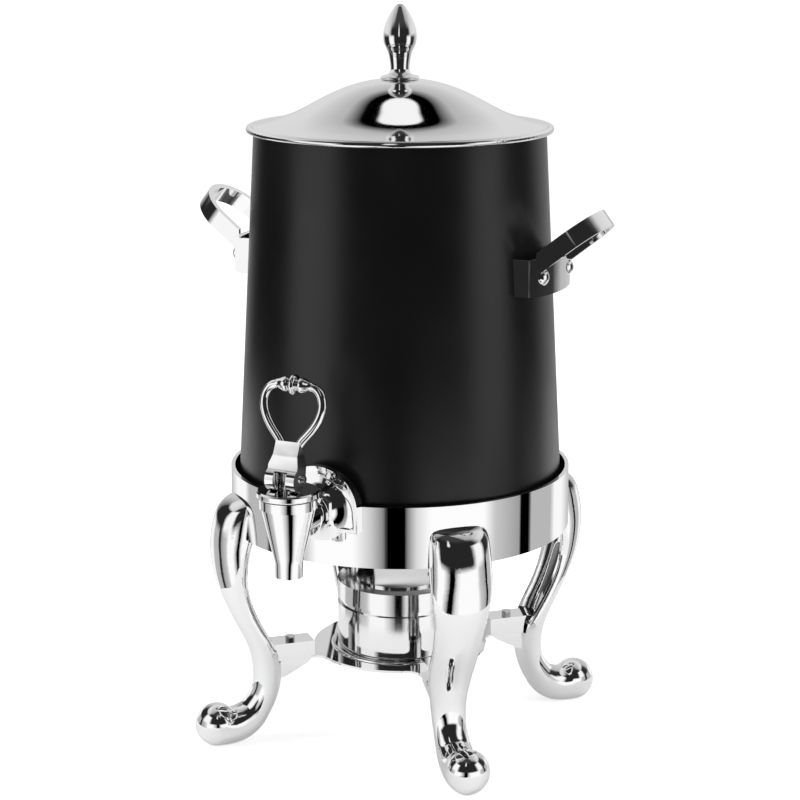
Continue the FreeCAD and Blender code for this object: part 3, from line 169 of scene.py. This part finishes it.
# Screws and pins of the stand: plain turned steel with a dull machined surface.
# The leg screws sit inside the ring, the pins cross the legs and the tray screws hold the arms' box ends.
screw_metal = bare_metal("screw_steel", (0.62, 0.62, 0.63), 0.18, 0.3, 60.0, EVEN_LINES, FINE_LINE_DEPTH)
finish(["leg_screws", "tray_pins", "tray_screws"], screw_metal)

# Burner tray: pressed and polished steel plate with four arms and a bead that centres the fuel holder.
# Its top is a little duller in spots, where hot fuel has dripped.
SHEET_COLOUR = (0.9, 0.9, 0.905)
tray_metal = bare_metal("tray_steel", SHEET_COLOUR, 0.03, 0.07, 45.0, EVEN_LINES, FINE_LINE_DEPTH)
finish(["burner_tray"], tray_metal)

# Fuel holder: a spun cup and its lid, with a disc that swings on a rivet over the opening.
# Spinning leaves fine rings, so the lines are drawn out round the axis.
SPUN_LINE_DEPTH = 0.00002
CUP_LINES = (1.0, 1.0, 9.0)
cup_metal = bare_metal("cup_steel", (0.88, 0.88, 0.885), 0.05, 0.12, 22.0, CUP_LINES, SPUN_LINE_DEPTH)
finish(["fuel_cup", "fuel_cup_lid", "damper_plate"], cup_metal)
finish(["damper_rivet"], screw_metal)

# Vessel: a tapered spun body that stands on the ring's ledge.
# Its black coating is satin, a little uneven in its sheen, and finely grained.
COATING_ROUGHNESS = (0.29, 0.34)
GRAIN_SCALE = 900.0
GRAIN_STRENGTH = 0.22
GRAIN_DEPTH = 0.00008
coating, coating_tree, coating_shader = new_material("black_coating", (0.004, 0.004, 0.004), 0.0, 0.31)
coating_tree.links.new(remap(coating_tree, noise_node(coating_tree, 25.0, 5.0), *COATING_ROUGHNESS),
                       coating_shader.inputs["Roughness"])
coating_grain = noise_node(coating_tree, GRAIN_SCALE, 3.0)
add_bump(coating_tree, coating_shader, coating_grain, GRAIN_STRENGTH, GRAIN_DEPTH)
finish(["urn_vessel"], coating)

# Handles: a bent steel bracket on the vessel, and a cast loop held to it by two domed rivets on each side.
# Both are polished, and the casting keeps a slight wave.
HANDLE_WAVES = (55.0, 0.25, 0.0006)
handle_metal = bare_metal("handle_casting", CAST_COLOUR, 0.03, 0.06, 40.0, EVEN_LINES, FINE_LINE_DEPTH,
                          HANDLE_WAVES)
finish(["handle_bracket_left", "handle_bracket_right", "handle_loop_left", "handle_loop_right",
        "handle_rivets_left", "handle_rivets_right"], handle_metal)

# Tap fixing: two soft washers pinch the wall, a lock nut is inside, and the shank carries the escutcheon,
# the jam nut and the coupling nut. The washers are black rubber with a slightly uneven surface.
rubber, rubber_tree, rubber_shader = new_material("seal_rubber", (0.03, 0.03, 0.03), 0.0, 0.6)
add_bump(rubber_tree, rubber_shader, noise_node(rubber_tree, 400.0, 3.0), 0.3, 0.0001)
finish(["tap_outer_washer", "tap_inner_washer", "tap_seat_cup"], rubber)
TAP_WAVES = (60.0, 0.2, 0.0005)
tap_metal = bare_metal("tap_casting", CAST_COLOUR, 0.02, 0.045, 50.0, EVEN_LINES, FINE_LINE_DEPTH, TAP_WAVES)
finish(["tap_escutcheon", "tap_shank", "tap_lock_nut", "tap_jam_nut", "tap_coupling_nut"], tap_metal)

# Tap: a plated cone with a bonnet screwed on top, and a gasket of black plastic between them.
# Inside, the spring presses the stem and its seat cup down, and the lever's heel lifts them.
plastic, plastic_tree, plastic_shader = new_material("gasket_plastic", (0.015, 0.015, 0.015), 0.0, 0.35)
plastic_tree.links.new(remap(plastic_tree, noise_node(plastic_tree, 120.0, 3.0), 0.3, 0.42),
                       plastic_shader.inputs["Roughness"])
finish(["tap_bonnet_gasket"], plastic)
finish(["tap_body", "tap_bonnet"], tap_metal)
finish(["tap_stem", "tap_lever_pin"], screw_metal)

# Spring of the tap: one coil of drawn steel wire between the stem's collar and the bonnet.
# Its top stays against the bonnet, and it shortens as the lever lifts the stem.
# Its radius and turns are those of the spring in the part, and its height is taken from that part.
WIRE_RADIUS = 0.0006
COIL_RADIUS = 0.0075
COIL_TURNS = 7.0
COIL_STEPS = 24
WIRE_SIDES = 10
spring_low, spring_high = [Vector(corner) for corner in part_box("tap_spring")]
spring_tree = bpy.data.node_groups.new("spring_coil", "GeometryNodeTree")
for socket_name in ("Height", "Turns", "Coil Radius", "Wire Radius"):
    spring_tree.interface.new_socket(socket_name, in_out="INPUT", socket_type="NodeSocketFloat")
spring_tree.interface.new_socket("Geometry", in_out="OUTPUT", socket_type="NodeSocketGeometry")
spring_inputs = spring_tree.nodes.new("NodeGroupInput")
spring_output = spring_tree.nodes.new("NodeGroupOutput")
spiral = spring_tree.nodes.new("GeometryNodeCurveSpiral")
spiral.inputs["Resolution"].default_value = COIL_STEPS
spring_tree.links.new(spring_inputs.outputs["Turns"], spiral.inputs["Rotations"])
spring_tree.links.new(spring_inputs.outputs["Coil Radius"], spiral.inputs["Start Radius"])
spring_tree.links.new(spring_inputs.outputs["Coil Radius"], spiral.inputs["End Radius"])
spring_tree.links.new(spring_inputs.outputs["Height"], spiral.inputs["Height"])
wire_circle = spring_tree.nodes.new("GeometryNodeCurvePrimitiveCircle")
wire_circle.inputs["Resolution"].default_value = WIRE_SIDES
spring_tree.links.new(spring_inputs.outputs["Wire Radius"], wire_circle.inputs["Radius"])
wire_mesh = spring_tree.nodes.new("GeometryNodeCurveToMesh")
wire_mesh.inputs["Fill Caps"].default_value = True
spring_tree.links.new(spiral.outputs["Curve"], wire_mesh.inputs["Curve"])
spring_tree.links.new(wire_circle.outputs["Curve"], wire_mesh.inputs["Profile Curve"])
spring_real = spring_tree.nodes.new("GeometryNodeRealizeInstances")
spring_finish = spring_tree.nodes.new("GeometryNodeSetMaterial")
spring_finish.inputs["Material"].default_value = screw_metal
spring_tree.links.new(wire_mesh.outputs["Mesh"], spring_real.inputs["Geometry"])
spring_tree.links.new(spring_real.outputs["Geometry"], spring_finish.inputs["Geometry"])
spring_tree.links.new(spring_finish.outputs["Geometry"], spring_output.inputs["Geometry"])
spring_maker = bpy.data.objects.new("spring_maker", bpy.data.meshes.new("spring_maker"))
scene.collection.objects.link(spring_maker)
spring_modifier = spring_maker.modifiers.new("coil", "NODES")
spring_modifier.node_group = spring_tree
spring_sizes = {"Height": spring_high.z - spring_low.z - 2 * WIRE_RADIUS, "Turns": COIL_TURNS,
                "Coil Radius": COIL_RADIUS, "Wire Radius": WIRE_RADIUS}
for socket in spring_tree.interface.items_tree:
    if socket.in_out == "INPUT":
        spring_modifier[socket.identifier] = spring_sizes[socket.name]
spring_made = spring_maker.evaluated_get(bpy.context.evaluated_depsgraph_get())
spring_mesh = bpy.data.meshes.new_from_object(spring_made)
bpy.data.objects.remove(spring_maker)
spring_middle = (spring_low + spring_high) / 2
spring_mesh.transform(Matrix.Translation((spring_middle.x, spring_middle.y, spring_low.z + WIRE_RADIUS)))
spring_mesh.shade_smooth()
spring = bpy.data.objects.new("tap_spring_coil", spring_mesh)
scene.collection.objects.link(spring)
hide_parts("tap_spring")
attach(spring, "urn")
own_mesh(spring)

# Lever: one plated casting with a fork, a neck and a heart-shaped loop with a turned grip.
# It turns on its pin in the stem, and has the tap's finish.
finish(["tap_lever"], tap_metal)

# Lid: a spun ogee of polished steel with a rolled rim and a ring under it that keeps it in the mouth.
# Fine rings from spinning blur its reflections a little more than the band's.
LID_LINES = (1.0, 1.0, 7.0)
lid_metal = bare_metal("lid_steel", SHEET_COLOUR, 0.035, 0.075, 14.0, LID_LINES, SPUN_LINE_DEPTH)
finish(["lid_shell", "lid_locating_ring"], lid_metal)

# Finial: a turned knob, polished like the ring, whose stud passes through the lid.
# A plain washer and a nut under the lid hold it.
finish(["lid_finial"], ring_metal)
finish(["finial_washer", "finial_nut"], screw_metal)

# The camera stands where the photograph was taken: in front and to the right, a little above the lid
VIEW_TURN = math.radians(25.8)
VIEW_TILT = math.radians(13.45)
VIEW_REACH = 1.5715
VIEW_HEIGHT = 0.6368
camera_data = bpy.data.cameras.new("camera")
camera_data.lens = 94.8
camera_data.sensor_width = 36.0
camera = bpy.data.objects.new("camera", camera_data)
scene.collection.objects.link(camera)
camera.location = (VIEW_REACH * math.sin(VIEW_TURN), -VIEW_REACH * math.cos(VIEW_TURN), VIEW_HEIGHT)
camera.rotation_euler = (math.pi / 2 - VIEW_TILT, 0.0, VIEW_TURN)
scene.camera = camera

# Floor: a plain pale sheet that shows white and keeps the object's soft shadow
FLOOR_HALF = 12.0
FLOOR_GAP = 0.0002
FLOOR_GLOW_SEEN = 0.54
FLOOR_GLOW_MIRRORED = 0.05
floor_mesh = bpy.data.meshes.new("floor")
floor_mesh.from_pydata([(-FLOOR_HALF, -FLOOR_HALF, 0), (FLOOR_HALF, -FLOOR_HALF, 0),
                        (FLOOR_HALF, FLOOR_HALF, 0), (-FLOOR_HALF, FLOOR_HALF, 0)], [], [(0, 1, 2, 3)])
floor = bpy.data.objects.new("floor", floor_mesh)
scene.collection.objects.link(floor)
floor.location = (0, 0, -FLOOR_GAP)
floor_material, floor_tree, floor_shader = new_material("floor", (0.9, 0.9, 0.9), 0.0, 0.8)
floor_shader.inputs["Emission Color"].default_value = (1.0, 1.0, 1.0, 1.0)
path = floor_tree.nodes.new("ShaderNodeLightPath")
seen = floor_tree.nodes.new("ShaderNodeMath")
seen.operation = "MULTIPLY"
seen.inputs[1].default_value = FLOOR_GLOW_SEEN
floor_tree.links.new(path.outputs["Is Camera Ray"], seen.inputs[0])
glow = floor_tree.nodes.new("ShaderNodeMath")
glow.operation = "MULTIPLY_ADD"
glow.inputs[1].default_value = FLOOR_GLOW_MIRRORED
floor_tree.links.new(path.outputs["Is Glossy Ray"], glow.inputs[0])
floor_tree.links.new(seen.outputs["Value"], glow.inputs[2])
floor_tree.links.new(glow.outputs["Value"], floor_shader.inputs["Emission Strength"])
floor_mesh.materials.append(floor_material)

# World: white to the camera and in reflections, a soft even light otherwise
world = bpy.data.worlds.new("studio")
scene.world = world
world.use_nodes = True
world_tree = world.node_tree
background = world_tree.nodes["Background"]
background.inputs["Color"].default_value = (1.0, 1.0, 1.0, 1.0)
world_path = world_tree.nodes.new("ShaderNodeLightPath")
world_seen = world_tree.nodes.new("ShaderNodeMath")
world_seen.operation = "MAXIMUM"
world_all = world_tree.nodes.new("ShaderNodeMath")
world_all.operation = "MAXIMUM"
world_tree.links.new(world_path.outputs["Is Camera Ray"], world_seen.inputs[0])
world_tree.links.new(world_path.outputs["Is Glossy Ray"], world_seen.inputs[1])
world_tree.links.new(world_seen.outputs["Value"], world_all.inputs[0])
world_tree.links.new(world_path.outputs["Is Transmission Ray"], world_all.inputs[1])
world_level = world_tree.nodes.new("ShaderNodeMapRange")
world_level.inputs["To Min"].default_value = 0.5
world_level.inputs["To Max"].default_value = 1.0
world_tree.links.new(world_all.outputs["Value"], world_level.inputs["Value"])
world_tree.links.new(world_level.outputs["Result"], background.inputs["Strength"])

# Studio tent that only reflections see: a dome of cloth with white panels, grey gaps and black strips,
# and a mat on the floor round the object that carries the lowest panels inwards.
# Each ring of panels is given by turns from the camera's side, in degrees to the right, and brightness.
TENT_REACH = 0.62
TENT_HEIGHT = 1.35
MAT_REACH = 0.3
MAT_HEIGHT = 0.0004
TENT_TURNS = 96
TENT_LEVELS = 24
LOW_PANELS = [(-180, 0.9), (-150, 0.55), (-132, 1.0), (-118, 1.0), (-112, 0.5), (-92, 0.5), (-90, 0.03),
              (-82, 0.03), (-80, 0.36), (-60, 0.6), (-52, 1.05), (-28, 1.05), (-17, 0.62), (-10, 0.26),
              (-8, 0.0), (3, 0.0), (4.5, 0.26), (10, 0.75), (18, 1.05), (52, 1.05), (60, 0.6), (79, 0.36),
              (80, 0.0), (88, 0.0), (90, 0.5), (112, 0.5), (118, 1.0), (130, 1.0), (150, 0.55)]
MID_PANELS = [(-180, 0.7), (-150, 0.6), (-125, 0.02), (-85, 0.02), (-74, 1.0), (-48, 1.0), (-38, 0.02),
              (44, 0.02), (54, 1.0), (72, 1.0), (83, 0.02), (108, 0.04), (122, 0.5), (150, 0.6)]
HIGH_PANELS = [(-180, 0.72), (-120, 0.8), (-80, 0.7), (-60, 0.02), (-12, 0.02), (-10, 0.9), (-4, 0.9),
               (-2, 0.02), (60, 0.02), (80, 0.7), (120, 0.8)]
TOP_PANELS = [(-180, 0.42), (-120, 0.6), (-60, 0.4), (-45, 0.05), (45, 0.05), (60, 0.4), (120, 0.6)]
# A round white lamp cloth with a dark surround hangs high behind the object
CLOTH_PLACE = (0.0, 0.32, 1.155)
CLOTH_REACH = (0.095, 0.115)
SURROUND_REACH = (0.19, 0.29)


def tent_mesh():
    corners = []
    faces = []
    turns = TENT_TURNS
    levels = TENT_LEVELS
    for level in range(-1, levels + 1):
        lift = math.pi / 2 * max(level, 0) / levels
        reach = MAT_REACH if level < 0 else TENT_REACH * math.cos(lift)
        for turn in range(turns):
            angle = 2 * math.pi * turn / turns
            corners.append((reach * math.sin(angle), -reach * math.cos(angle),
                            MAT_HEIGHT + TENT_HEIGHT * math.sin(lift)))
    for level in range(levels + 1):
        for turn in range(turns):
            after = (turn + 1) % turns
            faces.append((level * turns + turn, level * turns + after, (level + 1) * turns + after,
                          (level + 1) * turns + turn))
    mesh = bpy.data.meshes.new("tent")
    mesh.from_pydata(corners, [], faces)
    return mesh


tent_material = bpy.data.materials.new("tent")
tent_material.use_nodes = True
tent_tree = tent_material.node_tree
tent_tree.nodes.remove(tent_tree.nodes["Principled BSDF"])
tent_place = tent_tree.nodes.new("ShaderNodeTexCoord")
tent_axes = tent_tree.nodes.new("ShaderNodeSeparateXYZ")
tent_tree.links.new(tent_place.outputs["Object"], tent_axes.inputs["Vector"])
tent_back = tent_tree.nodes.new("ShaderNodeMath")
tent_back.operation = "MULTIPLY"
tent_back.inputs[1].default_value = -1.0
tent_tree.links.new(tent_axes.outputs["Y"], tent_back.inputs[0])
tent_turn = tent_tree.nodes.new("ShaderNodeMath")
tent_turn.operation = "ARCTAN2"
tent_tree.links.new(tent_axes.outputs["X"], tent_turn.inputs[0])
tent_tree.links.new(tent_back.outputs["Value"], tent_turn.inputs[1])
tent_share = remap(tent_tree, tent_turn.outputs["Value"], 0.0, 1.0, -math.pi, math.pi)


# One ring of panels as a colour ramp over the turn
def panels(levels):
    ramp = tent_tree.nodes.new("ShaderNodeValToRGB")
    stops = ramp.color_ramp.elements
    while len(stops) > 1:
        stops.remove(stops[-1])
    stops[0].position = 0.0
    stops[0].color = (levels[0][1], levels[0][1], levels[0][1], 1.0)
    for turn, shade in levels[1:]:
        stop = stops.new((turn + 180.0) / 360.0)
        stop.color = (shade, shade, shade, 1.0)
    stop = stops.new(1.0)
    stop.color = (levels[0][1], levels[0][1], levels[0][1], 1.0)
    tent_tree.links.new(tent_share, ramp.inputs["Fac"])
    return ramp.outputs["Color"]


# One ring below and another above, blended between two heights
def mix_up(low, high, start, end):
    mix = tent_tree.nodes.new("ShaderNodeMix")
    mix.data_type = "RGBA"
    tent_tree.links.new(remap(tent_tree, tent_axes.outputs["Z"], 0.0, 1.0, start, end), mix.inputs[0])
    tent_tree.links.new(low, mix.inputs[6])
    tent_tree.links.new(high, mix.inputs[7])
    return mix.outputs[2]


tent_low = mix_up(panels(LOW_PANELS), panels(MID_PANELS), 0.13, 0.19)
tent_high = mix_up(tent_low, panels(HIGH_PANELS), 0.5, 0.56)
tent_top = mix_up(tent_high, panels(TOP_PANELS), 0.72, 0.95)
cloth_reach = tent_tree.nodes.new("ShaderNodeVectorMath")
cloth_reach.operation = "DISTANCE"
cloth_reach.inputs[1].default_value = CLOTH_PLACE
tent_tree.links.new(tent_place.outputs["Object"], cloth_reach.inputs[0])
surround = tent_tree.nodes.new("ShaderNodeVectorMath")
surround.operation = "SCALE"
tent_tree.links.new(tent_top, surround.inputs[0])
tent_tree.links.new(remap(tent_tree, cloth_reach.outputs["Value"], 0.0, 1.0, *SURROUND_REACH),
                    surround.inputs["Scale"])
cloth = tent_tree.nodes.new("ShaderNodeVectorMath")
cloth.operation = "ADD"
tent_tree.links.new(surround.outputs["Vector"], cloth.inputs[0])
tent_tree.links.new(remap(tent_tree, cloth_reach.outputs["Value"], 1.0, 0.0, *CLOTH_REACH), cloth.inputs[1])
tent_colour = cloth.outputs["Vector"]
tent_light = tent_tree.nodes.new("ShaderNodeEmission")
tent_tree.links.new(tent_colour, tent_light.inputs["Color"])
tent_tree.links.new(tent_light.outputs["Emission"], tent_tree.nodes["Material Output"].inputs["Surface"])
tent = bpy.data.objects.new("tent", tent_mesh())
tent.data.materials.append(tent_material)
scene.collection.objects.link(tent)
tent.rotation_euler = (0.0, 0.0, VIEW_TURN)
tent.visible_camera = False
tent.visible_diffuse = False
tent.visible_shadow = False
tent.visible_transmission = False


# Soft lamps left, right and above
def lamp(name, place, aim, wide, watts):
    data = bpy.data.lights.new(name, "AREA")
    data.shape = "SQUARE"
    data.size = wide
    data.energy = watts
    item = bpy.data.objects.new(name, data)
    scene.collection.objects.link(item)
    item.location = place
    item.rotation_euler = (Vector(aim) - Vector(place)).to_track_quat("-Z", "Y").to_euler()
    item.visible_glossy = False


lamp("lamp_left", (-1.8, -1.2, 1.6), (0, 0, 0.25), 1.2, 22)
lamp("lamp_right", (2.2, -0.6, 1.4), (0, 0, 0.25), 1.2, 18)
lamp("lamp_top", (0.0, 0.2, 2.4), (0, 0, 0.0), 1.8, 20)
